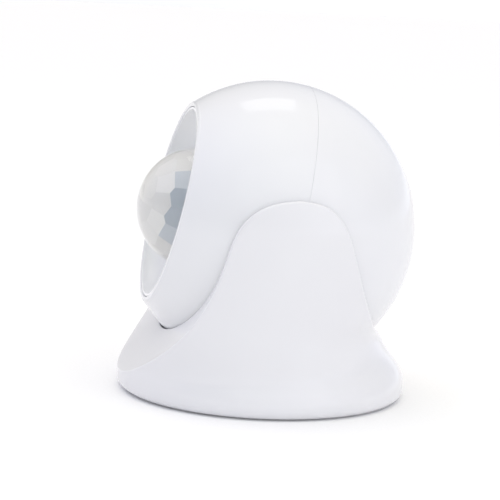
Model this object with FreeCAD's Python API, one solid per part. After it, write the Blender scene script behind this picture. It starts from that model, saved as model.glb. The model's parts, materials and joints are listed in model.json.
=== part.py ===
"""Motion sensor light: a ball head in a flared cradle, which turns on a mounting plate.

Millimetres, +Z up. The origin is the centre of the mounting plate's underside, the front faces -Y,
and the ball tilts about an axis along X. Head pieces are drawn about the ball's centre with the
head looking straight ahead, then tilted to its rest pose. Distances called front and back run
along the head's looking direction.
"""
import FreeCAD, Part
import math
import os

V = FreeCAD.Vector

# Ball and head
BALL_R = 50.0
BALL_WALL = 2.2
BALL_Z = 56.83
HEAD_PITCH = 12.55
OPENING = 36.24
SEAM_GAP = 0.15

# Dish and dome in the opening
OPENING_R = 33.2
DISH_OUTER_R = 33.0
DISH_HOLE_R = 21.0
DISH_DEPTH = 11.3
DISH_LIP = 35.9
DISH_WALL = 1.6
DOME_CENTRE = 25.85
DOME_R = 20.65
DOME_WALL = 1.0
DOME_FLANGE_R = 23.2
DOME_FLANGE_FRONT = 22.95

# Lamp ring and boards
LED_COUNT = 7
LED_RING_R = 26.5
LED_R = 2.5
LED_BOARD = (18.1, 19.7)
LED_BOARD_R = 32.0
SENSOR_BOARD = (22.0, 23.2)
SENSOR_BOARD_R = 12.0
MAIN_BOARD = (9.0, 10.6)
MAIN_BOARD_R = 33.0
POST_RING_R = 29.5

# Batteries: four AA cells side by side
CELL_COUNT = 4
CELL_R = 7.2
CELL_BODY = 49.2
CELL_NUB = (2.75, 1.3)
CELL_PITCH = 14.55
TRAY_PLATE = (-6.6, -5.0)
TRAY_WALL_TOP = -19.0
TRAY_INSIDE = (29.15, 28.1)
TRAY_WALL = 1.4
TRAY_SCREW_R = 36.5

# Ring that joins the shells, and its twist lock
SPIGOT_R = (45.2, 47.0)
SPIGOT_END = -6.0
LUG_ANGLES = (90, 210, 330)
LUG_HALF_ANGLE = 5.0
COVER_TWIST = 20.0

# Cradle
CUP_GAP = 0.4
RIM_ROUND = 0.8
SKIN = 2.2
CAVITY_DROP = 3.2
CAVITY_TOP = 34.0
CAVITY_HUB_R = 14.0
FOOT_Z = 0.5
# Outer radius at each height: to the front, to the sides and to the rear
CRADLE_SECTIONS = (
    (0.5, 48.0, 47.3, 47.3),
    (1.4, 49.3, 48.4, 48.3),
    (3.0, 50.1, 49.1, 48.9),
    (5.5, 50.3, 49.1, 49.0),
    (8.0, 50.3, 48.3, 48.4),
    (10.5, 50.3, 47.3, 47.1),
    (13.0, 50.4, 46.8, 45.2),
    (16.5, 50.5, 46.9, 42.6),
    (20.0, 50.7, 47.3, 40.4),
    (24.0, 50.9, 47.8, 38.5),
    (30.0, 51.2, 48.9, 41.5),
    (38.0, 51.4, 50.4, 45.4),
    (47.0, 51.8, 51.6, 50.3),
    (57.0, 52.0, 52.0, 52.0),
    (65.0, 51.4, 51.4, 51.4),
    (74.0, 49.1, 49.1, 49.1),
)
# Side view of the cradle's rim, from the front lip over the ears to the rear: (y, z)
RIM_FRONT = ((-60.0, -2.4), (-50.3, 6.8), (-43.2, 13.9), (-36.7, 21.3), (-31.4, 28.8),
             (-26.5, 38.3), (-22.2, 51.8), (-18.5, 62.2), (-10.6, 69.2), (0.0, 71.5))
RIM_REAR = ((0.0, 71.5), (10.0, 69.1), (16.3, 61.9), (19.5, 53.5), (23.2, 43.5),
            (28.0, 33.5), (34.0, 25.6), (42.0, 21.5), (60.0, 19.8))

# Swivel and mounting plate
PLATE_R = 40.5
PLATE_TOP = 2.9
RECESS_R = 41.2
RECESS_TOP = 3.1
HUB_R = 7.95
HUB_BORE_R = 8.0
HUB_TOP = 4.25
WASHER = (4.3, 5.0)
WASHER_R = 11.0
SWIVEL_SCREW_R = 1.85
WALL_SCREW_X = 28.0
WALL_SCREW_R = 2.25
WALL_SCREW_HEAD_R = 4.0
PAD_RING = (12.0, 22.0)
PAD_THICK = 0.8


def sphere_radius(radius, along):
    """Radius of a sphere's slice at a distance from its centre."""
    return math.sqrt(radius ** 2 - along ** 2)


def ring_places(radius, steps, total):
    """Places (x, z) on a circle round the head's axis, counted in steps of a full turn from the top."""
    angles = [math.radians(90 + 360 * step / total) for step in steps]
    return [(radius * math.cos(angle), radius * math.sin(angle)) for angle in angles]


def outline(items, to_point):
    """Closed face from a start point, then line ends or (arc middle, arc end) pairs."""
    here = first = to_point(*items[0])
    edges = []
    for item in items[1:]:
        if isinstance(item[0], tuple):
            middle, end = to_point(*item[0]), to_point(*item[1])
            edges.append(Part.Arc(here, middle, end).toShape())
        else:
            end = to_point(*item)
            edges.append(Part.makeLine(here, end))
        here = end
    if here.distanceToPoint(first) > 1e-6:
        edges.append(Part.makeLine(here, first))
    return Part.Face(Part.Wire(edges))


def turned_head(items):
    """Solid turned about the head's axis from (radius, front) points."""
    face = outline(items, lambda radius, front: V(radius, -front, 0))
    return face.revolve(V(0, 0, 0), V(0, 1, 0), 360)


def turned_base(items):
    """Solid turned about the vertical axis from (radius, z) points."""
    face = outline(items, lambda radius, z: V(radius, 0, z))
    return face.revolve(V(0, 0, 0), V(0, 0, 1), 360)


def rod(place, radius, back, front):
    """Cylinder along the head's axis at a place (x, z)."""
    return Part.makeCylinder(radius, front - back, V(place[0], -back, place[1]), V(0, -1, 0))


def block(x, front, z):
    """Box from (low, high) pairs along x, the head's axis and z."""
    low = V(x[0], -front[1], z[0])
    return Part.makeBox(x[1] - x[0], front[1] - front[0], z[1] - z[0], low)


def sector(radii, fronts, angles):
    """Part of a ring round the head's axis, between two angles from +X towards +Z."""
    corners = [(radii[0], fronts[0]), (radii[1], fronts[0]), (radii[1], fronts[1]), (radii[0], fronts[1])]
    face = outline(corners, lambda radius, front: V(radius, -front, 0))
    face.rotate(V(0, 0, 0), V(0, -1, 0), angles[0])
    return face.revolve(V(0, 0, 0), V(0, -1, 0), angles[1] - angles[0])


def compound(shapes):
    return Part.makeCompound(shapes)


def drill(shape, places, radius, back, front):
    return shape.cut(compound([rod(place, radius, back, front) for place in places]))


# Head

def tray_screw_places():
    return ring_places(TRAY_SCREW_R, range(4), 4)


def board_screw_places():
    return ring_places(POST_RING_R, (0.5, 2.5, 4.5), LED_COUNT)


def standoff_places():
    return ring_places(POST_RING_R, (1.5, 3.5, 5.5), LED_COUNT)


def make_shell_boss(place):
    """Screw boss and the rib that joins it to the shell's wall."""
    boss = rod(place, 3.0, TRAY_PLATE[1] + 0.05, 27.0)
    boss = boss.cut(rod(place, 1.45, TRAY_PLATE[1], 6.0))
    rib = block((TRAY_SCREW_R + 2.0, BALL_R), (2.0, 27.0), (-1.0, 1.0))
    turn = math.degrees(math.atan2(place[1], place[0]))
    rib.rotate(V(0, 0, 0), V(0, -1, 0), turn)
    inside = Part.makeSphere(BALL_R - BALL_WALL / 2)
    return boss.fuse(rib).common(inside)


def make_front_shell():
    inner_r = BALL_R - BALL_WALL
    seam = SEAM_GAP / 2
    round_start = OPENING - 0.75
    profile = [
        (SPIGOT_R[1], seam),
        (sphere_radius(BALL_R, seam), seam),
        ((sphere_radius(BALL_R, 20), 20), (sphere_radius(BALL_R, round_start), round_start)),
        ((34.76, 36.06), (34.2, OPENING)),
        (OPENING_R + 0.35, OPENING),
        ((OPENING_R + 0.1, OPENING - 0.1), (OPENING_R, OPENING - 0.35)),
        (OPENING_R, sphere_radius(inner_r, OPENING_R)),
        ((sphere_radius(inner_r, 22), 22), (sphere_radius(inner_r, 9), 9)),
        (SPIGOT_R[0], 7.5),
        (SPIGOT_R[0], SPIGOT_END),
        (SPIGOT_R[1], SPIGOT_END),
    ]
    shell = turned_head(profile)
    for place in tray_screw_places():
        shell = shell.fuse(make_shell_boss(place))
    for angle in LUG_ANGLES:
        lock = (angle - LUG_HALF_ANGLE - 1.0, angle + LUG_HALF_ANGLE + COVER_TWIST + 1.0)
        way_in = (angle - LUG_HALF_ANGLE + COVER_TWIST - 1.0, lock[1])
        channel = (SPIGOT_R[0] + 0.8, SPIGOT_R[1] + 0.2)
        shell = shell.cut(sector(channel, (-5.0, -2.6), lock))
        shell = shell.cut(sector(channel, (SPIGOT_END - 0.1, -4.9), way_in))
    return shell


def make_rear_shell():
    inner_r = BALL_R - BALL_WALL
    seam = -SEAM_GAP / 2
    middle = math.sqrt(0.5)
    shell = turned_head([
        (sphere_radius(inner_r, seam), seam),
        (sphere_radius(BALL_R, seam), seam),
        ((BALL_R * middle, -BALL_R * middle), (0, -BALL_R)),
        (0, -inner_r),
        ((inner_r * middle, -inner_r * middle), (sphere_radius(inner_r, seam), seam)),
    ])
    for angle in LUG_ANGLES:
        reach = (angle - LUG_HALF_ANGLE, angle + LUG_HALF_ANGLE)
        shell = shell.fuse(sector((SPIGOT_R[1] - 0.7, inner_r + 0.4), (-4.6, -3.0), reach))
    return shell


def dish_depth_at(radius, offset=0.0):
    """Front distance of the dish's quarter-round surface, or of a surface behind it."""
    return DISH_LIP - sphere_radius(DISH_DEPTH + offset, radius - DISH_HOLE_R)


def make_reflector_dish():
    """Quarter-round dish with a rim that fits the opening and a flange behind it."""
    middle = math.sqrt(0.5)
    back_r = DISH_DEPTH + DISH_WALL
    flange = (31.6, 33.0)
    back_end = DISH_HOLE_R + sphere_radius(back_r, DISH_LIP - flange[0])
    dish = turned_head([
        (DISH_HOLE_R + DISH_DEPTH, DISH_LIP),
        ((DISH_HOLE_R + DISH_DEPTH * middle, DISH_LIP - DISH_DEPTH * middle),
         (DISH_HOLE_R, DISH_LIP - DISH_DEPTH)),
        (DISH_HOLE_R, DISH_LIP - back_r),
        ((DISH_HOLE_R + back_r * 0.6, DISH_LIP - back_r * 0.8), (back_end, flange[0])),
        (34.3, flange[0]),
        (34.3, flange[1]),
        (DISH_OUTER_R, flange[1]),
        (DISH_OUTER_R, DISH_LIP),
    ])
    for place in board_screw_places():
        dish = dish.fuse(rod(place, 2.4, LED_BOARD[1], dish_depth_at(POST_RING_R - 2.4)))
    dish = drill(dish, board_screw_places(), 1.15, LED_BOARD[1] - 0.1, 25.0)
    return drill(dish, ring_places(LED_RING_R, range(LED_COUNT), LED_COUNT), LED_R + 0.2, 21.0, DISH_LIP)


def make_dome_lens():
    """Hollow dome with a straight collar and a flange behind the dish."""
    middle = math.sqrt(0.5)
    inner_r = DOME_R - DOME_WALL
    flange_back = DOME_FLANGE_FRONT - 1.2
    return turned_head([
        (0, DOME_CENTRE + DOME_R),
        ((DOME_R * middle, DOME_CENTRE + DOME_R * middle), (DOME_R, DOME_CENTRE)),
        (DOME_R, DOME_FLANGE_FRONT),
        (DOME_FLANGE_R, DOME_FLANGE_FRONT),
        (DOME_FLANGE_R, flange_back),
        (inner_r, flange_back),
        (inner_r, DOME_CENTRE),
        ((inner_r * middle, DOME_CENTRE + inner_r * middle), (0, DOME_CENTRE + inner_r)),
    ])


def make_dome_retainer():
    back = LED_BOARD[1]
    front = DOME_FLANGE_FRONT - 1.2
    return turned_head([(19.9, back), (DOME_FLANGE_R, back), (DOME_FLANGE_R, front), (19.9, front)])


def make_led(place):
    """Round-nosed lamp with a collar at its foot."""
    back = LED_BOARD[1]
    nose = 25.3
    middle = math.sqrt(0.5)
    led = turned_head([
        (0, back),
        (LED_R + 0.4, back),
        (LED_R + 0.4, back + 1.0),
        (LED_R, back + 1.0),
        (LED_R, nose),
        ((LED_R * middle, nose + LED_R * middle), (0, nose + LED_R)),
    ])
    led.translate(V(place[0], 0, place[1]))
    return led


def make_led_board():
    return drill(rod((0, 0), LED_BOARD_R, *LED_BOARD), board_screw_places(), 1.3, *LED_BOARD)


def make_sensor_board():
    return rod((0, 0), SENSOR_BOARD_R, *SENSOR_BOARD)


def make_sensor_pins():
    """Pins that carry the sensor board on the lamp board."""
    places = ring_places(9.0, range(3), 3)
    return compound([rod(place, 0.5, LED_BOARD[1], SENSOR_BOARD[0]) for place in places])


def make_pir_sensor():
    """Metal can with a flange at its foot."""
    base = SENSOR_BOARD[1]
    return rod((0, 0), 4.9, base, base + 0.7).fuse(rod((0, 0), 4.4, base + 0.7, base + 4.2))


def make_pir_window():
    front = SENSOR_BOARD[1] + 4.2
    return block((-2.2, 2.2), (front, front + 0.3), (-1.7, 1.7))


def make_light_sensor():
    return rod((0, -8.3), 2.1, SENSOR_BOARD[1], SENSOR_BOARD[1] + 1.8)


def make_main_board():
    return rod((0, 0), MAIN_BOARD_R, *MAIN_BOARD)


def make_standoffs():
    return compound([rod(place, 2.5, MAIN_BOARD[1], LED_BOARD[0]) for place in standoff_places()])


def make_controller_chip():
    return block((-5.0, 5.0), (MAIN_BOARD[0] - 1.6, MAIN_BOARD[0]), (-3.0, 3.0))


def make_capacitors():
    places = ((14.0, 6.0), (14.0, -4.0))
    return compound([rod(place, 3.2, MAIN_BOARD[0] - 8.0, MAIN_BOARD[0]) for place in places])


def make_board_screws():
    """Pan head screws that hold the lamp board on the dish's posts."""
    back = LED_BOARD[0]
    return compound([rod(place, 2.2, back - 1.3, back).fuse(rod(place, 1.1, back, back + 6.0))
                     for place in board_screw_places()])


# Batteries

def make_battery_tray():
    """Open tray for a row of cells, with four ears screwed to the front shell."""
    half_x = TRAY_INSIDE[0] + TRAY_WALL
    half_z = TRAY_INSIDE[1] + TRAY_WALL
    tray = block((-half_x, half_x), (TRAY_WALL_TOP, TRAY_PLATE[1]), (-half_z, half_z))
    inside = block((-TRAY_INSIDE[0], TRAY_INSIDE[0]), (TRAY_WALL_TOP - 1, TRAY_PLATE[0]),
                   (-TRAY_INSIDE[1], TRAY_INSIDE[1]))
    tray = tray.cut(inside)
    reach = TRAY_SCREW_R + 3.5
    tray = tray.fuse(block((-reach, reach), TRAY_PLATE, (-4.0, 4.0)))
    tray = tray.fuse(block((-4.0, 4.0), TRAY_PLATE, (-reach, reach)))
    return drill(tray, tray_screw_places(), 1.6, *TRAY_PLATE)


def cell_places():
    """Each cell's x and the side, up or down, that its nub points to."""
    first = -(CELL_COUNT - 1) / 2 * CELL_PITCH
    return [(first + i * CELL_PITCH, 1 if i % 2 == 0 else -1) for i in range(CELL_COUNT)]


def cell_front():
    return TRAY_PLATE[0] - 0.1 - CELL_R


def upright(x, radius, low, high, side):
    """Cylinder in the cells' row, between two heights that the side may turn over."""
    return Part.makeCylinder(radius, high - low, V(x, -cell_front(), side * low), V(0, 0, side))


def make_cell(place):
    x, side = place
    nub_end = TRAY_INSIDE[1] - 0.5
    body_end = nub_end - CELL_NUB[1]
    body = upright(x, CELL_R, body_end - CELL_BODY, body_end, side)
    return body.fuse(upright(x, CELL_NUB[0], body_end, nub_end, side))


def make_contact_plates():
    """A thin plate at both ends of each cell."""
    end = TRAY_INSIDE[1]
    front = cell_front()
    plates = []
    for x, _ in cell_places():
        plates.append(block((x - 5, x + 5), (front - 4.9, front + 5), (end - 0.5, end)))
        plates.append(block((x - 5, x + 5), (front - 4.9, front + 5), (-end, 0.5 - end)))
    return compound(plates)


def make_contact_springs():
    """Spring contacts that press each cell's flat end: wire rings on two short wire posts."""
    wire_r = 0.35
    post_r = 0.45
    coil_r = 4.0
    rings = 4
    low = 0.5 - TRAY_INSIDE[1]
    high = TRAY_INSIDE[1] - 0.5 - CELL_NUB[1] - CELL_BODY
    step = (high - low - 2 * wire_r) / (rings - 1)
    springs = []
    for x, side in cell_places():
        spring = upright(x - coil_r, post_r, low, high - wire_r / 2, side)
        spring = spring.fuse(upright(x + coil_r, post_r, low, high - wire_r / 2, side))
        for i in range(rings):
            centre = V(x, -cell_front(), side * (low + wire_r + i * step))
            spring = spring.fuse(Part.makeTorus(coil_r, wire_r, centre))
        springs.append(spring)
    return compound(springs)


def make_lead(x):
    """Insulated wire from the battery tray to the main board."""
    return rod((x, 20.0), 0.8, TRAY_PLATE[1], MAIN_BOARD[0])


def make_tray_screws():
    back = TRAY_PLATE[0]
    return compound([rod(place, 2.8, back - 1.6, back).fuse(rod(place, 1.4, back, 5.0))
                     for place in tray_screw_places()])


# Cradle

def cradle_section(row, inset):
    """Smooth closed outline at one height, from its front, side and rear radii."""
    z, front, side, rear = row
    mean = (front + rear + 2 * side) / 4
    lean = (front - rear) / 2
    oval = (front + rear - 2 * side) / 4
    points = []
    steps = 24
    for step in range(steps):
        turn = 2 * math.pi * step / steps
        radius = mean + lean * math.cos(turn) + oval * math.cos(2 * turn) - inset
        points.append(V(radius * math.sin(turn), -radius * math.cos(turn), z))
    curve = Part.BSplineCurve()
    curve.interpolate(points, PeriodicFlag=True)
    return Part.Wire(curve.toShape())


def cradle_body(inset=0.0):
    wires = [cradle_section(row, inset) for row in CRADLE_SECTIONS]
    return Part.makeLoft(wires, True, False)


def above_rim(drop=0.0):
    """Everything above the rim's side view, or above a line that lies lower by a drop."""
    sides = []
    for points in (RIM_FRONT, RIM_REAR):
        curve = Part.BSplineCurve()
        curve.interpolate([V(-70, y, z - drop) for y, z in points])
        sides.append(curve.toShape())
    front, top, rear = RIM_FRONT[0], 90.0, RIM_REAR[-1]
    corners = [V(-70, rear[0], rear[1] - drop), V(-70, rear[0], top),
               V(-70, front[0], top), V(-70, front[0], front[1] - drop)]
    lines = [Part.makeLine(a, b) for a, b in zip(corners, corners[1:])]
    return Part.Face(Part.Wire(sides + lines)).extrude(V(140, 0, 0))


def ball_centre():
    return V(0, 0, BALL_Z)


def cradle_cavity():
    """Space under the cup, open towards the mounting plate, which leaves an even skin."""
    cavity = cradle_body(SKIN).cut(Part.makeSphere(BALL_R + CUP_GAP + SKIN, ball_centre()))
    cavity = cavity.cut(above_rim(CAVITY_DROP))
    cavity = cavity.common(Part.makeCylinder(RECESS_R + 10, CAVITY_TOP - RECESS_TOP + 0.5,
                                             V(0, 0, RECESS_TOP - 0.5)))
    return cavity.cut(Part.makeCylinder(CAVITY_HUB_R, BALL_Z))


def outer_rim_edges(body):
    """Edges between the rim's faces and the outer surface."""
    rim = [face for face in body.Faces if face.Surface.TypeId == "Part::GeomSurfaceOfExtrusion"]
    outer = [face for face in body.Faces if face.Surface.TypeId == "Part::GeomBSplineSurface"]
    return [edge for face in rim for edge in face.Edges
            if any(edge.isSame(other) for near in outer for other in near.Edges)]


def make_cradle():
    """Flared foot, cup and ears in one moulding, hollow underneath."""
    cup_r = BALL_R + CUP_GAP
    body = cradle_body().cut(Part.makeSphere(cup_r, ball_centre()))
    body = body.cut(above_rim()).Solids[0]
    body = body.makeFillet(RIM_ROUND, outer_rim_edges(body))
    body = body.cut(cradle_cavity())
    body = body.cut(Part.makeCylinder(RECESS_R, RECESS_TOP - FOOT_Z + 1, V(0, 0, FOOT_Z - 1)))
    body = body.cut(Part.makeCylinder(HUB_BORE_R, 10))
    body = body.cut(Part.makeCylinder(WASHER_R + 0.4, 10, V(0, 0, HUB_TOP - 0.1)))
    for pocket in grip_pad_rods(6.15, BALL_R - 1.0, BALL_R + 2.0):
        body = body.cut(pocket)
    return body


def grip_pad_rods(radius, start, end):
    """Short cylinders that point outward from the ball's centre, low in the cup."""
    rods = []
    for angle in (90, 210, 330):
        level, turn = math.radians(-58), math.radians(angle)
        out = V(math.cos(level) * math.cos(turn), math.cos(level) * math.sin(turn), math.sin(level))
        rods.append(Part.makeCylinder(radius, end - start, ball_centre() + out * start, out))
    return rods


def make_grip_pads():
    """Rubber pads let into the cup, just proud of its wall."""
    hollow = Part.makeSphere(BALL_R + 0.3, ball_centre())
    return compound([pad.cut(hollow) for pad in grip_pad_rods(6.0, BALL_R - 1.0, BALL_R + 1.9)])


# Mounting plate and swivel

def make_mount_plate():
    """Disc with the swivel's hub, a ring groove underneath and two countersunk screw holes."""
    plate = turned_base([(0, 0), (PLATE_R, 0), (PLATE_R, PLATE_TOP - 0.5), (PLATE_R - 0.5, PLATE_TOP),
                         (HUB_R, PLATE_TOP), (HUB_R, HUB_TOP), (0, HUB_TOP)])
    groove = turned_base([(PAD_RING[0] - 0.2, -1), (PAD_RING[1] + 0.2, -1),
                          (PAD_RING[1] + 0.2, PAD_THICK), (PAD_RING[0] - 0.2, PAD_THICK)])
    plate = plate.cut(groove)
    plate = plate.cut(Part.makeCylinder(SWIVEL_SCREW_R + 0.05, HUB_TOP, V(0, 0, 0.6)))
    sink = WALL_SCREW_HEAD_R - WALL_SCREW_R
    for x in (-WALL_SCREW_X, WALL_SCREW_X):
        plate = plate.cut(Part.makeCylinder(WALL_SCREW_R, PLATE_TOP, V(x, 0, 0)))
        plate = plate.cut(Part.makeCone(WALL_SCREW_R, WALL_SCREW_HEAD_R, sink, V(x, 0, PLATE_TOP - sink)))
    return plate


def make_adhesive_pad():
    return turned_base([(PAD_RING[0], 0), (PAD_RING[1], 0), (PAD_RING[1], PAD_THICK),
                        (PAD_RING[0], PAD_THICK)])


def make_spring_washer():
    return turned_base([(SWIVEL_SCREW_R + 0.4, WASHER[0]), (WASHER_R, WASHER[0]),
                        (WASHER_R, WASHER[1]), (SWIVEL_SCREW_R + 0.4, WASHER[1])])


def make_swivel_screw():
    head = turned_base([(0, WASHER[1]), (4.2, WASHER[1]), (4.2, WASHER[1] + 0.6),
                        (3.2, WASHER[1] + 1.2), (0, WASHER[1] + 1.2)])
    slot = Part.makeBox(6.0, 0.8, 1.0, V(-3.0, -0.4, WASHER[1] + 0.6))
    return head.cut(slot).fuse(Part.makeCylinder(SWIVEL_SCREW_R, WASHER[1] - 0.8, V(0, 0, 0.8)))


# All nodes

def tilt_to_rest(shape):
    """From the head's own frame to its place in the cradle."""
    shape.rotate(V(0, 0, 0), V(1, 0, 0), -HEAD_PITCH)
    shape.translate(ball_centre())
    return shape


def head_nodes():
    nodes = {
        "front_shell": make_front_shell(),
        "reflector_dish": make_reflector_dish(),
        "dome_lens": make_dome_lens(),
        "dome_retainer": make_dome_retainer(),
        "led_board": make_led_board(),
        "sensor_board": make_sensor_board(),
        "sensor_pins": make_sensor_pins(),
        "pir_sensor": make_pir_sensor(),
        "pir_window": make_pir_window(),
        "light_sensor": make_light_sensor(),
        "main_board": make_main_board(),
        "standoffs": make_standoffs(),
        "controller_chip": make_controller_chip(),
        "capacitors": make_capacitors(),
        "board_screws": make_board_screws(),
        "battery_tray": make_battery_tray(),
        "contact_plates": make_contact_plates(),
        "contact_springs": make_contact_springs(),
        "lead_red": make_lead(-9.0),
        "lead_black": make_lead(-5.0),
        "tray_screws": make_tray_screws(),
        "rear_shell": make_rear_shell(),
    }
    for i, place in enumerate(ring_places(LED_RING_R, range(LED_COUNT), LED_COUNT)):
        nodes[f"led_{i + 1}"] = make_led(place)
    for i, place in enumerate(cell_places()):
        nodes[f"battery_{i + 1}"] = make_cell(place)
    return {name: tilt_to_rest(shape) for name, shape in nodes.items()}


def base_nodes():
    return {
        "cradle": make_cradle(),
        "grip_pads": make_grip_pads(),
        "mount_plate": make_mount_plate(),
        "adhesive_pad": make_adhesive_pad(),
        "spring_washer": make_spring_washer(),
        "swivel_screw": make_swivel_screw(),
    }


def main():
    os.makedirs("parts", exist_ok=True)
    for name, shape in {**head_nodes(), **base_nodes()}.items():
        box = shape.BoundBox
        print(f"{name:16s} valid {shape.isValid()} solids {len(shape.Solids)} volume {shape.Volume:10.1f}"
              f" x {box.XMin:.1f} {box.XMax:.1f} y {box.YMin:.1f} {box.YMax:.1f}"
              f" z {box.ZMin:.1f} {box.ZMax:.1f}")
        shape.exportStep(f"parts/{name}.step")


main()
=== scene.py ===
"""Motion sensor light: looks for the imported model.

Shapes are worked out in millimetres and made in metres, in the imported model's own frame: +Z up, the
front faces -Y. Head pieces are drawn about the ball's centre, looking straight ahead along -Y, then
tilted to the rest pose. "Front" distances run along the head's axis.
"""
import json
import math

import bmesh
import bpy
import numpy as np
from mathutils import Matrix, Vector


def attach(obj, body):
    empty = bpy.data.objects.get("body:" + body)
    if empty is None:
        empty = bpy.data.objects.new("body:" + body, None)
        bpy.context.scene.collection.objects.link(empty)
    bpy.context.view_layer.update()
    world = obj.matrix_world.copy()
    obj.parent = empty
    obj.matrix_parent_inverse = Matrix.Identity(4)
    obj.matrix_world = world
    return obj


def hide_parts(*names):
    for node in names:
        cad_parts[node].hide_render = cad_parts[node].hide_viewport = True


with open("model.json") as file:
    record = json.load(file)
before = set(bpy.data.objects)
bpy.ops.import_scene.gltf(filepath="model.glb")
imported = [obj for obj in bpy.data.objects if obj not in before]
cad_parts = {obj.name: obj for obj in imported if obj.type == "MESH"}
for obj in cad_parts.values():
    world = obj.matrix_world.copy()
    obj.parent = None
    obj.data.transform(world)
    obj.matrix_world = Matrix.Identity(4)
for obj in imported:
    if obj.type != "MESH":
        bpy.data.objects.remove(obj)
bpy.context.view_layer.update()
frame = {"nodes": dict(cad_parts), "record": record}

MM = 0.001

# Ball and head
BALL_Z = 56.83
HEAD_PITCH = 12.55
HEAD = Matrix.Translation((0, 0, BALL_Z)) @ Matrix.Rotation(math.radians(-HEAD_PITCH), 4, "X")

# Dome
DOME_CENTRE = 25.85
DOME_R = 20.65
DOME_WALL = 1.0
DOME_FLANGE_R = 23.2
DOME_FLANGE = (21.75, 22.95)
# Lens cells: distance of their flats from the dome's centre. The cells at the foot of the dome on
# its two sides, picked by the front and sideways parts of their directions, carry a painted view of
# the dark inside: they are darker and bluer where the dark inside would show through them
LENS_FLAT = 18.9
LENS_LOW = 0.5
LENS_SIDE = 0.62
# Tilt from the dome's axis in degrees and number of the cells in each ring
LENS_RINGS = ((0, 1), (21, 6), (42, 12), (63, 16), (84, 19))

# Lamps
LED_COUNT = 7
LED_RING_R = 26.5
LED_BACK = 19.7

# Cradle
CUP_R = 50.4
RIM_ROUND = 0.9
MOUTH_ROUND = 0.4
SKIN = 2.2
CAVITY_BALL_R = 52.6
CAVITY_DROP = 3.2
CAVITY_TOP = 34.0
CAVITY_HUB_R = 14.0
FOOT_Z = 0.5
RECESS_R = 41.2
RECESS_TOP = 3.1
RECESS_LIP = 2.6
HUB_BORE_R = 8.0
WASHER_SEAT = (11.4, 4.15)
# Stations round the cradle, and halvings when a height or radius is searched for
STATIONS = 560
HALVINGS = 40
# Outer radius at each height: to the front, to the sides and to the rear
CRADLE_SECTIONS = (
    (0.5, 48.0, 47.3, 47.3),
    (1.4, 49.3, 48.4, 48.3),
    (3.0, 50.1, 49.1, 48.9),
    (5.5, 50.3, 49.1, 49.0),
    (8.0, 50.3, 48.3, 48.4),
    (10.5, 50.3, 47.3, 47.1),
    (13.0, 50.4, 46.8, 45.2),
    (16.5, 50.5, 46.9, 42.6),
    (20.0, 50.7, 47.3, 40.4),
    (24.0, 50.9, 47.8, 38.5),
    (30.0, 51.2, 48.9, 41.5),
    (38.0, 51.4, 50.4, 45.4),
    (47.0, 51.8, 51.6, 50.3),
    (57.0, 52.0, 52.0, 52.0),
    (65.0, 51.4, 51.4, 51.4),
    (74.0, 49.1, 49.1, 49.1),
)
# Side view of the rim, from the front lip over the ears to the rear: (y, z)
RIM_FRONT = ((-60.0, -2.4), (-50.3, 6.8), (-43.2, 13.9), (-36.7, 21.3), (-31.4, 28.8),
             (-26.5, 38.3), (-22.2, 51.8), (-18.5, 62.2), (-10.6, 69.2), (0.0, 71.5))
RIM_REAR = ((0.0, 71.5), (10.0, 69.1), (16.3, 61.9), (19.5, 53.5), (23.2, 43.5),
            (28.0, 33.5), (34.0, 25.6), (42.0, 21.5), (60.0, 19.8))


# Camera: angles in radians, the rest in millimetres
CAMERA_AZIMUTH, CAMERA_ELEVATION, CAMERA_ROLL = 1.38687, 0.14096, 0.0473
CAMERA_TARGET = (0, -6.245, 48.504)
CAMERA_DISTANCE = 600
CAMERA_LENS = 125.72

# Light
WHITE = (1.0, 1.0, 1.0)
LIGHT_AIM_Z = 0.06
# Band of light at the horizon: sharpness and strength
HORIZON = (90, 0.65)
# Azimuth and elevation in degrees, sharpness, strength and colour of each soft lobe
SKY = (
    (0, 90, 2, 0.975, (1.0, 0.93, 0.88)),
    (0, 90, 8, 0.66, (0.98, 1.0, 0.61)),
    (0, 45, 4, 0.564, (0.44, 0.44, 1.0)),
    (45, 45, 4, 0.407, (0.82, 1.0, 0.84)),
    (135, 15, 4, 1.102, (0.88, 0.89, 1.0)),
    (-135, 15, 4, 0.823, (0.84, 0.88, 1.0)),
    (-45, 15, 4, 0.839, (1.0, 0.97, 0.88)),
)


# Camera and light

def make_camera():
    back = direction(CAMERA_AZIMUTH, CAMERA_ELEVATION)
    level_right = Vector((math.cos(CAMERA_AZIMUTH), math.sin(CAMERA_AZIMUTH), 0))
    level_up = level_right.cross(-back)
    right = math.cos(CAMERA_ROLL) * level_right + math.sin(CAMERA_ROLL) * level_up
    up = math.cos(CAMERA_ROLL) * level_up - math.sin(CAMERA_ROLL) * level_right
    place = Matrix((right, up, back)).transposed().to_4x4()
    place.translation = (Vector(CAMERA_TARGET) + CAMERA_DISTANCE * back) * MM
    data = bpy.data.cameras.new("camera")
    data.sensor_width = 36
    data.lens = CAMERA_LENS
    data.clip_start = 0.02
    data.clip_end = 50
    camera = bpy.data.objects.new("camera", data)
    camera.matrix_world = place
    bpy.context.scene.collection.objects.link(camera)
    bpy.context.scene.camera = camera


def direction(azimuth, elevation):
    """Unit vector from the object, in radians: azimuth 0 is in front of it, 90 degrees at +X."""
    return Vector((math.sin(azimuth) * math.cos(elevation),
                   -math.cos(azimuth) * math.cos(elevation), math.sin(elevation)))


def soft_box(name, azimuth, elevation, distance, size, power, colour):
    """Rectangular light that faces the ball from a direction in degrees, distance in metres."""
    out = direction(math.radians(azimuth), math.radians(elevation))
    data = bpy.data.lights.new(name, "AREA")
    data.shape = "RECTANGLE"
    data.size, data.size_y = size
    data.energy = power
    data.color = colour
    light = bpy.data.objects.new(name, data)
    light.matrix_world = (Matrix.Translation(Vector((0, 0, LIGHT_AIM_Z)) + out * distance)
                          @ out.to_track_quat("Z", "Y").to_matrix().to_4x4())
    bpy.context.scene.collection.objects.link(light)


# Material building blocks

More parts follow.
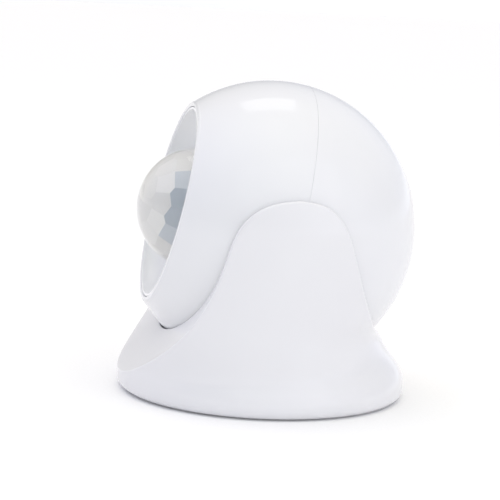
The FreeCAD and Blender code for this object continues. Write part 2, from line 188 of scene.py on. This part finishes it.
class Recipe:
    """A node material under construction, with object coordinates in metres."""

    def __init__(self, name):
        self.material = bpy.data.materials.new(name)
        self.material.use_nodes = True
        self.tree = self.material.node_tree
        self.tree.nodes.clear()
        self.shader = self.add("ShaderNodeBsdfPrincipled")
        output = self.add("ShaderNodeOutputMaterial")
        self.link(self.shader.outputs["BSDF"], output.inputs["Surface"])
        self.place = self.add("ShaderNodeTexCoord").outputs["Object"]

    def add(self, kind, **settings):
        node = self.tree.nodes.new(kind)
        for key, value in settings.items():
            setattr(node, key, value)
        return node

    def link(self, start, end):
        self.tree.links.new(start, end)

    def set(self, **values):
        """Constant values on the shader's own sockets, with _ for spaces."""
        for key, value in values.items():
            self.shader.inputs[key.replace("_", " ")].default_value = value
        return self

    def stretched(self, factors):
        """Texture coordinates, scaled along the axes if factors are given."""
        if not factors:
            return self.place
        mapping = self.add("ShaderNodeMapping")
        mapping.inputs["Scale"].default_value = factors
        self.link(self.place, mapping.inputs["Vector"])
        return mapping.outputs["Vector"]

    def noise(self, scale, detail=2.0, roughness=0.5, stretch=None):
        node = self.add("ShaderNodeTexNoise")
        node.inputs["Scale"].default_value = scale
        node.inputs["Detail"].default_value = detail
        node.inputs["Roughness"].default_value = roughness
        self.link(self.stretched(stretch), node.inputs["Vector"])
        return node.outputs["Fac"]

    def cells(self, scale, feature="F1", stretch=None):
        node = self.add("ShaderNodeTexVoronoi", feature=feature)
        node.inputs["Scale"].default_value = scale
        self.link(self.stretched(stretch), node.inputs["Vector"])
        return node.outputs["Distance"]

    def ramp(self, value, stops):
        node = self.add("ShaderNodeValToRGB")
        ramp = node.color_ramp
        while len(ramp.elements) < len(stops):
            ramp.elements.new(0.5)
        for element, (at, colour) in zip(ramp.elements, stops):
            element.position = at
            element.color = (*colour, 1.0)
        self.link(value, node.inputs["Fac"])
        return node.outputs["Color"]

    def spread(self, value, low, high):
        """Maps a 0.3 to 0.7 value, as noise gives, to a range."""
        node = self.add("ShaderNodeMapRange")
        for key, number in (("From Min", 0.3), ("From Max", 0.7),
                            ("To Min", low), ("To Max", high)):
            node.inputs[key].default_value = number
        self.link(value, node.inputs["Value"])
        return node.outputs["Result"]

    def mix(self, share, first, second, blend="MIX"):
        node = self.add("ShaderNodeMix", data_type="RGBA", blend_type=blend)
        for socket, value in ((node.inputs["Factor"], share), (node.inputs[6], first),
                              (node.inputs[7], second)):
            if isinstance(value, (int, float)):
                socket.default_value = value
            elif isinstance(value, tuple):
                socket.default_value = (*value, 1.0)
            else:
                self.link(value, socket)
        return node.outputs[2]

    def colour(self, value):
        self.link(value, self.shader.inputs["Base Color"])
        return self

    def rough(self, value):
        self.link(value, self.shader.inputs["Roughness"])
        return self

    def bump(self, height, strength, depth_mm):
        node = self.add("ShaderNodeBump")
        node.inputs["Strength"].default_value = strength
        node.inputs["Distance"].default_value = depth_mm * MM
        self.link(height, node.inputs["Height"])
        normal = self.shader.inputs["Normal"]
        if normal.is_linked:
            self.link(normal.links[0].from_socket, node.inputs["Normal"])
        self.link(node.outputs["Normal"], normal)
        return self


# Moulded plastics: slot, lighter and darker colour, roughness and depth of the grain in millimetres
MOULDED = (
    ("shell_white", (0.785, 0.79, 0.81), (0.765, 0.77, 0.795), 0.08, 0.006),
    ("cradle_white", (0.78, 0.78, 0.805), (0.76, 0.76, 0.785), 0.09, 0.006),
    ("dish_white", (0.95, 0.955, 0.965), (0.93, 0.935, 0.945), 0.2, 0.006),
    ("nylon_white", (0.8, 0.8, 0.76), (0.74, 0.74, 0.7), 0.4, 0.02),
    ("plate_grey", (0.68, 0.69, 0.72), (0.62, 0.63, 0.66), 0.42, 0.02),
    ("black_plastic", (0.035, 0.035, 0.04), (0.02, 0.02, 0.024), 0.45, 0.02),
    ("wire_red", (0.55, 0.03, 0.03), (0.42, 0.02, 0.02), 0.35, 0.01),
    ("wire_black", (0.03, 0.03, 0.032), (0.018, 0.018, 0.02), 0.35, 0.01),
)


def moulded(name, light, dark, roughness, grain):
    """Injection-moulded plastic: faint flow mottling, uneven gloss and a fine skin texture."""
    recipe = Recipe(name)
    flow = recipe.noise(28, 3, 0.55, (1, 1, 0.6))
    recipe.colour(recipe.ramp(flow, ((0.3, dark), (0.72, light))))
    recipe.rough(recipe.spread(recipe.noise(160, 4, 0.6), roughness - 0.025, roughness + 0.035))
    recipe.bump(recipe.noise(420, 2), 0.25, grain)
    recipe.bump(recipe.noise(3200, 2), 0.12, 0.004)
    return recipe


def make_materials():
    made = {}
    for name, light, dark, roughness, grain in MOULDED:
        made[name] = moulded(name, light, dark, roughness, grain)

    dome = Recipe("dome_milk")
    tone = dome.add("ShaderNodeAttribute", attribute_name="cell_tone_and_painted_view").outputs["Fac"]
    haze = dome.noise(700, 3, 0.6)
    # Cell values up to 0.35 give the painted view of the dark inside, dark and bluish. Values from
    # 0.5 up give the milk's random tone
    milk_and_painted_view = dome.ramp(tone, ((0.0, (0.4, 0.47, 0.55)), (0.35, (0.72, 0.77, 0.83)),
                            (0.5, (0.88, 0.88, 0.875)), (1.0, (0.99, 0.99, 0.98))))
    dome.colour(dome.mix(dome.spread(haze, 0.0, 0.2), milk_and_painted_view, (0.96, 0.96, 0.95), "MULTIPLY"))
    dome.rough(dome.spread(dome.noise(500, 3), 0.1, 0.2))
    dome.bump(haze, 0.1, 0.01)
    dome.set(Transmission_Weight=0.1, IOR=1.5)
    made["dome_milk"] = dome

    skin = Recipe("dome_clear")
    skin.colour(skin.ramp(skin.noise(300, 2),
                          ((0.3, (0.99, 0.99, 0.98)), (0.7, (0.97, 0.97, 0.96)))))
    skin.rough(skin.spread(skin.noise(500, 3), 0.02, 0.07))
    skin.set(Transmission_Weight=1.0, IOR=1.18, Coat_Weight=0.8, Coat_Roughness=0.04)
    made["dome_clear"] = skin

    clear = Recipe("led_clear")
    clear.colour(clear.ramp(clear.noise(600, 2),
                            ((0.3, (0.97, 0.97, 0.95)), (0.7, (0.93, 0.94, 0.92)))))
    clear.rough(clear.spread(clear.noise(900, 2), 0.02, 0.07))
    clear.bump(clear.noise(1500, 2), 0.08, 0.01)
    clear.set(Transmission_Weight=0.85, IOR=1.5)
    made["led_clear"] = clear

    for name, ground, track in (("board_green", (0.03, 0.16, 0.07), (0.06, 0.27, 0.12)),
                                ("board_blue", (0.02, 0.045, 0.1), (0.05, 0.1, 0.2))):
        board = Recipe(name)
        runs = board.cells(260, "DISTANCE_TO_EDGE", (1, 0.35, 1))
        lines = board.ramp(runs, ((0.05, (1, 1, 1)), (0.09, (0, 0, 0))))
        board.colour(board.mix(lines, ground, track))
        board.rough(board.spread(board.noise(300, 3), 0.25, 0.4))
        board.bump(lines, 0.5, 0.03)
        board.set(Coat_Weight=0.3, Coat_Roughness=0.2)
        made[name] = board

    for name, base, rough in (("can_steel", (0.62, 0.64, 0.68), 0.28),
                              ("steel", (0.6, 0.61, 0.64), 0.33)):
        metal = Recipe(name)
        draw = metal.noise(900, 4, 0.6, (1, 6, 1))
        dull = tuple(channel * 0.82 for channel in base)
        metal.colour(metal.ramp(draw, ((0.3, dull), (0.65, base))))
        metal.rough(metal.spread(metal.noise(1800, 3, 0.6, (1, 8, 1)), rough - 0.08, rough + 0.1))
        metal.bump(draw, 0.2, 0.01)
        metal.set(Metallic=1.0)
        made[name] = metal

    window = Recipe("window_dark")
    window.colour(window.ramp(window.noise(1500, 2),
                              ((0.3, (0.03, 0.022, 0.035)), (0.7, (0.06, 0.045, 0.06)))))
    window.rough(window.spread(window.noise(1200, 2), 0.06, 0.14))
    window.set(Coat_Weight=0.6, Coat_Roughness=0.05)
    made["window_dark"] = window

    amber = Recipe("sensor_amber")
    ripple = amber.add("ShaderNodeTexWave", wave_type="BANDS", bands_direction="X")
    ripple.inputs["Scale"].default_value = 900
    ripple.inputs["Distortion"].default_value = 6
    amber.link(amber.place, ripple.inputs["Vector"])
    amber.colour(amber.ramp(ripple.outputs["Fac"],
                            ((0.35, (0.55, 0.2, 0.04)), (0.5, (0.78, 0.62, 0.3)))))
    amber.rough(amber.spread(amber.noise(800, 2), 0.15, 0.25))
    amber.set(Coat_Weight=0.5, Coat_Roughness=0.08)
    made["sensor_amber"] = amber

    chip = Recipe("chip_black")
    chip.colour(chip.ramp(chip.noise(1600, 4),
                          ((0.3, (0.012, 0.012, 0.014)), (0.7, (0.03, 0.03, 0.033)))))
    chip.rough(chip.spread(chip.noise(2500, 3), 0.5, 0.65))
    chip.bump(chip.noise(6000, 2), 0.4, 0.01)
    made["chip_black"] = chip

    sleeve = Recipe("capacitor_sleeve")
    sleeve.colour(sleeve.ramp(sleeve.noise(220, 2),
                              ((0.3, (0.02, 0.04, 0.14)), (0.7, (0.04, 0.07, 0.2)))))
    sleeve.rough(sleeve.spread(sleeve.noise(600, 3), 0.2, 0.34))
    sleeve.bump(sleeve.noise(900, 2), 0.15, 0.02)
    made["capacitor_sleeve"] = sleeve

    cell = Recipe("cell_sleeve")
    height = cell.add("ShaderNodeSeparateXYZ")
    cell.link(cell.place, height.inputs["Vector"])
    bands = cell.add("ShaderNodeMapRange")
    for key, number in (("From Min", 0.028), ("From Max", 0.086)):
        bands.inputs[key].default_value = number
    cell.link(height.outputs["Z"], bands.inputs["Value"])
    paint = cell.ramp(bands.outputs["Result"],
                      ((0.0, (0.1, 0.11, 0.13)), (0.7, (0.14, 0.15, 0.17)),
                       (0.72, (0.5, 0.52, 0.55)), (1.0, (0.56, 0.57, 0.6))))
    worn = cell.spread(cell.noise(300, 3), 0.0, 0.3)
    cell.colour(cell.mix(worn, paint, (0.9, 0.9, 0.9), "MULTIPLY"))
    cell.rough(cell.spread(cell.noise(500, 3), 0.22, 0.36))
    cell.bump(cell.noise(800, 2), 0.15, 0.02)
    cell.set(Metallic=0.4)
    made["cell_sleeve"] = cell

    rubber = Recipe("pad_rubber")
    rubber.colour(rubber.ramp(rubber.noise(500, 4),
                              ((0.3, (0.045, 0.045, 0.048)), (0.7, (0.07, 0.07, 0.074)))))
    rubber.rough(rubber.spread(rubber.noise(900, 3), 0.7, 0.85))
    rubber.bump(rubber.noise(2600, 3), 0.4, 0.03)
    made["pad_rubber"] = rubber

    foam = Recipe("foam_tape")
    pores = foam.cells(2600)
    foam.colour(foam.ramp(pores, ((0.1, (0.62, 0.62, 0.6)), (0.5, (0.8, 0.8, 0.78)))))
    foam.rough(foam.spread(foam.noise(700, 3), 0.85, 0.95))
    foam.bump(pores, 0.7, 0.08)
    made["foam_tape"] = foam

    return {name: recipe.material for name, recipe in made.items()}


# Mesh building blocks

def link_piece(name, bm, material, body, node_names=()):
    mesh = bpy.data.meshes.new(name)
    bm.to_mesh(mesh)
    bm.free()
    piece = bpy.data.objects.new(name, mesh)
    mesh.materials.append(material)
    bpy.context.scene.collection.objects.link(piece)
    if node_names:
        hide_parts(*node_names)
    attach(piece, body)
    return piece


def smooth(mesh, sharp_degrees):
    mesh.polygons.foreach_set("use_smooth", [True] * len(mesh.polygons))
    mesh.set_sharp_from_angle(angle=math.radians(sharp_degrees))


def lathe(bm, profile, steps, to_point):
    """Rings of vertices round an axis from (radius, front) points, with quads between them."""
    rings = []
    for radius, front in profile:
        if radius < 1e-6:
            rings.append([bm.verts.new(to_point(0, 0, front))])
        else:
            rings.append([bm.verts.new(to_point(radius * math.cos(2 * math.pi * i / steps),
                                                radius * math.sin(2 * math.pi * i / steps), front))
                          for i in range(steps)])
    for low, high in zip(rings, rings[1:]):
        for i in range(steps):
            j = (i + 1) % steps
            corners = [low[i % len(low)], low[j % len(low)],
                       high[j % len(high)], high[i % len(high)]]
            corners = list(dict.fromkeys(corners))
            if len(corners) > 2:
                bm.faces.new(corners)
    return rings


def head_point(x, z, front):
    return HEAD @ Vector((x, -front, z)) * MM


def arc(centre, radius, start, end, steps):
    """(radius, front) points on an arc round a centre, in degrees from the radial way."""
    return [(centre[0] + radius * math.cos(math.radians(start + (end - start) * i / steps)),
             centre[1] + radius * math.sin(math.radians(start + (end - start) * i / steps)))
            for i in range(steps + 1)]


# Dome

def lens_directions():
    """Unit directions (x, z, front) of the lens cells, in rings round the dome's axis."""
    out = []
    for ring, (tilt, count) in enumerate(LENS_RINGS):
        away = math.radians(tilt)
        for i in range(count):
            turn = 2 * math.pi * (i + 0.5 * (ring % 2)) / count
            out.append((math.sin(away) * math.cos(turn), math.sin(away) * math.sin(turn),
                        math.cos(away)))
    return np.array(out)


def make_dome(material, skin):
    """Shell that is smooth outside and has a flat lens in each of its cells inside."""
    around = 256
    inner_r = DOME_R - DOME_WALL
    foot = DOME_FLANGE[0] - DOME_CENTRE
    random = np.random.default_rng(11)
    bm = bmesh.new()
    tone = bm.faces.layers.float.new("cell_tone_and_painted_view")
    bmesh.ops.create_cone(bm, cap_ends=True, segments=96, radius1=inner_r, radius2=inner_r,
                          depth=DOME_R - foot,
                          matrix=Matrix.Translation((0, 0, (DOME_R + foot) / 2)))
    for way in lens_directions():
        cut = bmesh.ops.bisect_plane(bm, geom=bm.verts[:] + bm.edges[:] + bm.faces[:],
                                     plane_co=way * LENS_FLAT, plane_no=way, clear_outer=True)
        rim = [part for part in cut["geom_cut"] if isinstance(part, bmesh.types.BMEdge)]
        cell = bmesh.ops.contextual_create(bm, geom=rim)["faces"][0]
        # Low cells on the two sides get low values, which give the painted view of the dark inside.
        # The other cells get a random milk tone
        painted_view_cell = way[2] < LENS_LOW and abs(way[0]) > LENS_SIDE
        cell[tone] = random.uniform(0, 0.35) if painted_view_cell else random.uniform(0.5, 1)
    cap = [face for face in bm.faces if all(vert.co.z < foot + 1e-4 for vert in face.verts)]
    bmesh.ops.delete(bm, geom=cap, context="FACES_ONLY")
    bmesh.ops.translate(bm, verts=bm.verts, vec=(0, 0, DOME_CENTRE))
    cells = set(bm.faces)
    plain = [(inner_r + 0.2, DOME_FLANGE[0]), (DOME_FLANGE_R - 0.2, DOME_FLANGE[0]),
             (DOME_FLANGE_R, DOME_FLANGE[0] + 0.2), (DOME_FLANGE_R, DOME_FLANGE[1] - 0.2),
             (DOME_FLANGE_R - 0.2, DOME_FLANGE[1]), (DOME_R + 0.25, DOME_FLANGE[1]),
             (DOME_R, DOME_FLANGE[1] + 0.25)]
    plain += arc((0, DOME_CENTRE), DOME_R, 0, 90, 48)[:-1] + [(0, DOME_CENTRE + DOME_R)]
    lathe(bm, plain, around, lambda x, z, front: Vector((x, z, front)))
    bmesh.ops.bridge_loops(bm, edges=[edge for edge in bm.edges if edge.is_boundary])
    for face in bm.faces:
        if face not in cells:
            face[tone] = 1.0
            face.material_index = 1
    bmesh.ops.recalc_face_normals(bm, faces=bm.faces)
    for vert in bm.verts:
        vert.co = head_point(*vert.co)
    piece = link_piece("dome", bm, material, "head", ["dome_lens"])
    piece.data.materials.append(skin)
    smooth(piece.data, 12)


# Cradle

def curve_through(points, count):
    """Natural cubic spline through points, by length along them, at evenly spaced places."""
    points = np.asarray(points, float)
    at = np.r_[0, np.cumsum(np.linalg.norm(np.diff(points, axis=0), axis=1))]
    where = np.linspace(0, at[-1], count)
    return np.stack([spline(at, column, where) for column in points.T], axis=1)


def spline(at, values, where):
    """Natural cubic spline through (at, values)."""
    n = len(at)
    gap = np.diff(at)
    slope = np.diff(values) / gap
    system = np.eye(n)
    right = np.zeros(n)
    for i in range(1, n - 1):
        system[i, i - 1:i + 2] = gap[i - 1], 2 * (gap[i - 1] + gap[i]), gap[i]
        right[i] = 6 * (slope[i] - slope[i - 1])
    bend = np.linalg.solve(system, right)
    i = np.clip(np.searchsorted(at, where) - 1, 0, n - 2)
    left, rest = where - at[i], at[i + 1] - where
    return ((bend[i] * rest ** 3 + bend[i + 1] * left ** 3) / (6 * gap[i])
            + (values[i] / gap[i] - bend[i] * gap[i] / 6) * rest
            + (values[i + 1] / gap[i] - bend[i + 1] * gap[i] / 6) * left)


class CradleShape:
    """The cradle's outer surface and rim as functions of the turn from the front and the height."""

    def __init__(self):
        rows = np.array(CRADLE_SECTIONS)
        heights = np.linspace(rows[0, 0], rows[-1, 0], 1500)
        self.heights = heights
        self.walls = [spline(rows[:, 0], rows[:, i], heights) for i in (1, 2, 3)]
        side_view = np.concatenate([curve_through(RIM_FRONT, 900)[:-1],
                                    curve_through(RIM_REAR, 900)])
        self.rim_y, self.rim_z = side_view.T

    def radius(self, turn, z):
        front, side, rear = (np.interp(z, self.heights, row) for row in self.walls)
        mean = (front + rear + 2 * side) / 4
        lean = (front - rear) / 2
        oval = (front + rear - 2 * side) / 4
        return mean + lean * np.cos(turn) + oval * np.cos(2 * turn)

    def rim(self, radius, turn):
        return np.interp(-radius * np.cos(turn), self.rim_y, self.rim_z)

    def edge_height(self, turn, radius_at):
        """Height at which a wall, given by its radius at each height, meets the rim."""
        low, high = np.full_like(turn, 1.0), np.full_like(turn, CRADLE_SECTIONS[-1][0] - 0.1)
        for _ in range(HALVINGS):
            middle = (low + high) / 2
            above = middle > self.rim(radius_at(middle), turn)
            high = np.where(above, middle, high)
            low = np.where(above, low, middle)
        return (low + high) / 2

    def wall_normal(self, turn, z):
        rise, swing = 0.02, 0.0004
        radius = self.radius(turn, z)
        by_turn = (self.radius(turn + swing, z) - self.radius(turn - swing, z)) / (2 * swing)
        by_z = (self.radius(turn, z + rise) - self.radius(turn, z - rise)) / (2 * rise)
        out = np.stack([np.sin(turn), -np.cos(turn), 0 * turn], axis=1)
        along = np.stack([np.cos(turn), np.sin(turn), 0 * turn], axis=1)
        up = np.array([0, 0, 1.0])
        return unit(out - (by_turn / radius)[:, None] * along - by_z[:, None] * up)

    def rim_normal(self, y):
        step = 0.05
        climb = (np.interp(y + step, self.rim_y, self.rim_z)
                 - np.interp(y - step, self.rim_y, self.rim_z))
        return unit(np.stack([0 * y, -climb / (2 * step), 1 + 0 * y], axis=1))


def unit(rows):
    return rows / np.linalg.norm(rows, axis=1)[:, None]


def at_turn(radius, turn, z):
    return np.stack([radius * np.sin(turn), -radius * np.cos(turn), z + 0 * turn], axis=1)


def turn_of(points):
    return np.arctan2(points[:, 0], -points[:, 1])


def cup_radius(z):
    return np.sqrt(np.maximum(CUP_R ** 2 - (z - BALL_Z) ** 2, 1e-6))


def rounded_corner(corner, first, second, size, steps):
    """Rows of points on an arc that rounds the corner between two surfaces with these normals."""
    centre = corner - size * (first + second) / (1 + np.sum(first * second, axis=1))[:, None]
    rows = []
    for i in range(steps + 1):
        share = i / steps
        rows.append(centre + size * unit((1 - share) * first + share * second))
    return rows


def make_cradle(material):
    """Foot, cup and ears as one closed skin of rings, with both rim edges rounded."""
    shape = CradleShape()
    count = STATIONS
    dense = np.linspace(-math.pi, math.pi, 8001)
    height = shape.edge_height(dense, lambda z: shape.radius(dense, z))
    line = at_turn(shape.radius(dense, height), dense, height)
    length = np.r_[0, np.cumsum(np.linalg.norm(np.diff(line, axis=0), axis=1))]
    turn = np.interp(np.arange(count) * length[-1] / count, length, dense)

    z = shape.edge_height(turn, lambda h: shape.radius(turn, h))
    corner = at_turn(shape.radius(turn, z), turn, z)
    outer_arc = rounded_corner(corner, shape.wall_normal(turn, z), shape.rim_normal(corner[:, 1]),
                               RIM_ROUND, 7)
    mouth_z = shape.edge_height(turn, cup_radius)
    mouth = at_turn(cup_radius(mouth_z), turn, mouth_z)
    into_cup = unit(np.array([0, 0, BALL_Z]) - mouth)
    mouth_arc = rounded_corner(mouth, shape.rim_normal(mouth[:, 1]), into_cup, MOUTH_ROUND, 5)

    rows = []
    wall_turn, wall_top = turn_of(outer_arc[0]), outer_arc[0][:, 2]
    for level in (FOOT_Z, 0.62, 0.8, 1.05, 1.4, 1.9, 2.5, 3.2, 4.1, 5.0):
        rows.append(at_turn(shape.radius(wall_turn, level), wall_turn, np.full(count, level)))
    steps = 40
    for i in range(1, steps):
        level = 5.0 + (wall_top - 5.0) * i / steps
        rows.append(at_turn(shape.radius(wall_turn, level), wall_turn, level))
    rows += outer_arc
    start, end = outer_arc[-1], mouth_arc[0]
    start_r, end_r = np.hypot(start[:, 0], start[:, 1]), np.hypot(end[:, 0], end[:, 1])
    start_turn, end_turn = np.unwrap(turn_of(start)), np.unwrap(turn_of(end))
    for i in range(1, 12):
        share = i / 12
        radius = start_r + (end_r - start_r) * share
        at = start_turn + (end_turn - start_turn) * share
        rows.append(at_turn(radius, at, shape.rim(radius, at)))
    rows += mouth_arc
    cup_turn, cup_z = turn_of(mouth_arc[-1]), mouth_arc[-1][:, 2]
    seat_z = BALL_Z - math.sqrt(CUP_R ** 2 - WASHER_SEAT[0] ** 2)
    top_fall = np.arccos(np.clip((BALL_Z - cup_z) / CUP_R, -1, 1))
    seat_fall = math.acos((BALL_Z - seat_z) / CUP_R)
    steps = 26
    for i in range(1, steps + 1):
        fall = top_fall + (seat_fall - top_fall) * i / steps
        rows.append(at_turn(CUP_R * np.sin(fall), cup_turn, BALL_Z - CUP_R * np.cos(fall)))
    for radius, level in ((WASHER_SEAT[0], WASHER_SEAT[1]), (HUB_BORE_R, WASHER_SEAT[1]),
                          (HUB_BORE_R, RECESS_TOP), (CAVITY_HUB_R, RECESS_TOP)):
        rows.append(at_turn(np.full(count, radius), cup_turn, np.full(count, level)))
    rows += cavity_rows(shape, cup_turn)
    for radius, level in ((RECESS_R, RECESS_LIP), (RECESS_R, FOOT_Z)):
        rows.append(at_turn(np.full(count, radius), cup_turn, np.full(count, level)))

    bm = bmesh.new()
    rings = [[bm.verts.new(point * MM) for point in row] for row in rows]
    for low, high in zip(rings, rings[1:] + rings[:1]):
        for i in range(count):
            j = (i + 1) % count
            bm.faces.new((low[i], low[j], high[j], high[i]))
    bmesh.ops.remove_doubles(bm, verts=bm.verts, dist=1e-8)
    bmesh.ops.recalc_face_normals(bm, faces=bm.faces)
    piece = link_piece("cradle_moulding", bm, material, "cradle", ["cradle"])
    smooth(piece.data, 24)


def cavity_rows(shape, turn):
    """Rings of the hollow under the cup, from its hub out to its wall and down to the foot."""
    def ceiling(radius):
        under_cup = BALL_Z - np.sqrt(np.maximum(CAVITY_BALL_R ** 2 - radius ** 2, 0))
        return np.minimum(np.minimum(under_cup, shape.rim(radius, turn) - CAVITY_DROP), CAVITY_TOP)

    low, high = np.full_like(turn, CAVITY_HUB_R), np.full_like(turn, 50.0)
    for _ in range(HALVINGS):
        middle = (low + high) / 2
        inside = middle < shape.radius(turn, np.maximum(ceiling(middle), FOOT_Z)) - SKIN
        low = np.where(inside, middle, low)
        high = np.where(inside, high, middle)
    rows = []
    for i in range(15):
        radius = CAVITY_HUB_R + (low - CAVITY_HUB_R) * i / 14
        rows.append(at_turn(radius, turn, ceiling(radius)))
    top = ceiling(low)
    for i in range(1, 11):
        level = top + (RECESS_LIP - top) * i / 10
        rows.append(at_turn(shape.radius(turn, level) - SKIN, turn, level))
    return rows


# Lamp insides

def make_lamp_frames(material):
    """Reflector cup on its post and the second post, inside each clear lamp."""
    bm = bmesh.new()
    for k in range(LED_COUNT):
        angle = math.radians(90 + 360 * k / LED_COUNT)
        centre = (LED_RING_R * math.cos(angle), LED_RING_R * math.sin(angle))

        def to_point(x, z, front, shift=0.0, centre=centre):
            return head_point(centre[0] + x + shift, centre[1] + z, front)

        lathe(bm, [(0, LED_BACK + 0.4), (0.35, LED_BACK + 0.4), (0.35, 22.4), (0.75, 22.9),
                   (1.05, 23.6), (0.95, 23.62), (0.55, 23.05), (0, 23.0)], 20, to_point)
        lathe(bm, [(0, LED_BACK + 0.4), (0.3, LED_BACK + 0.4), (0.3, 23.2), (0.2, 23.4), (0, 23.4)],
              12, lambda x, z, front: to_point(x, z, front, 1.5))
    bmesh.ops.recalc_face_normals(bm, faces=bm.faces)
    piece = link_piece("lamp_frames", bm, material, "head")
    smooth(piece.data, 40)


def make_seam_lip(material):
    """Lip of the front half that shows as a fine line in the seam round the ball."""
    bm = bmesh.new()
    lathe(bm, [(48.2, -0.065), (49.9, -0.065), (49.93, -0.03), (49.93, 0.06), (48.2, 0.06),
               (48.2, -0.065)], 360, head_point)
    bmesh.ops.remove_doubles(bm, verts=bm.verts, dist=1e-9)
    bmesh.ops.recalc_face_normals(bm, faces=bm.faces)
    piece = link_piece("seam_lip", bm, material, "head")
    smooth(piece.data, 40)


# Floor and surroundings

def make_floor(name, half, height, glow):
    """Square of white paper that glows a little, so that it stays white behind the object."""
    recipe = Recipe(name)
    tooth = recipe.noise(900, 3)
    recipe.colour(recipe.ramp(tooth, ((0.3, (0.9, 0.9, 0.905)), (0.7, (0.93, 0.93, 0.935)))))
    recipe.rough(recipe.spread(tooth, 0.7, 0.9))
    recipe.set(Emission_Color=(1, 1, 1, 1), Emission_Strength=glow)
    bm = bmesh.new()
    bmesh.ops.create_grid(bm, x_segments=8, y_segments=8, size=half)
    mesh = bpy.data.meshes.new(name)
    bm.to_mesh(mesh)
    bm.free()
    floor = bpy.data.objects.new(name, mesh)
    floor.location.z = height
    mesh.materials.append(recipe.material)
    bpy.context.scene.collection.objects.link(floor)


def make_world():
    """Studio surroundings: a band of light at the horizon and soft lobes of light."""
    world = bpy.data.worlds.new("studio")
    world.use_nodes = True
    tree = world.node_tree
    way = tree.nodes.new("ShaderNodeTexCoord").outputs["Generated"]

    def vector_math(operation, first, second):
        node = tree.nodes.new("ShaderNodeVectorMath")
        node.operation = operation
        tree.links.new(first, node.inputs[0])
        if isinstance(second, bpy.types.NodeSocket):
            tree.links.new(second, node.inputs[1])
        else:
            node.inputs[1].default_value = second
        return node

    def lobe(dot, sharpness, light):
        """Light times the positive part of a cosine raised to a power."""
        value = dot.outputs["Value"]
        for operation, number in (("MAXIMUM", 0), ("POWER", sharpness)):
            node = tree.nodes.new("ShaderNodeMath")
            node.operation = operation
            node.inputs[1].default_value = number
            tree.links.new(value, node.inputs[0])
            value = node.outputs[0]
        scaled = tree.nodes.new("ShaderNodeVectorMath")
        scaled.operation = "SCALE"
        scaled.inputs[0].default_value = light
        tree.links.new(value, scaled.inputs["Scale"])
        return scaled.outputs["Vector"]

    level = vector_math("MULTIPLY", way, (1, 1, 0)).outputs["Vector"]
    sharpness, strength = HORIZON
    total = lobe(vector_math("DOT_PRODUCT", way, level), sharpness, [strength] * 3)
    for azimuth, elevation, sharpness, strength, colour in SKY:
        towards = direction(math.radians(azimuth), math.radians(elevation))
        glow = lobe(vector_math("DOT_PRODUCT", way, towards), sharpness,
                    [strength * channel for channel in colour])
        total = vector_math("ADD", total, glow).outputs["Vector"]
    tree.links.new(total, tree.nodes["Background"].inputs["Color"])
    bpy.context.scene.world = world


# Scene

make_camera()
materials = make_materials()
slot_of = {part["node"]: part["material_slot"] for part in frame["record"]["subparts"]}
for name, node in frame["nodes"].items():
    node.data.materials.clear()
    node.data.materials.append(materials[slot_of[name]])

make_cradle(materials["cradle_white"])
make_dome(materials["dome_milk"], materials["dome_clear"])
make_lamp_frames(materials["can_steel"])
make_seam_lip(materials["shell_white"])

make_floor("floor", 0.27, -0.0002, 0.04)
make_floor("surround", 30.0, -0.003, 0.06)
make_world()
bpy.context.scene.view_settings.view_transform = "Standard"
soft_box("window_light", 98, 30, 1.5, (2.3, 1.7), 5.0, WHITE)
soft_box("top_light", -95, 64, 1.2, (0.5, 0.35), 0.5, WHITE)
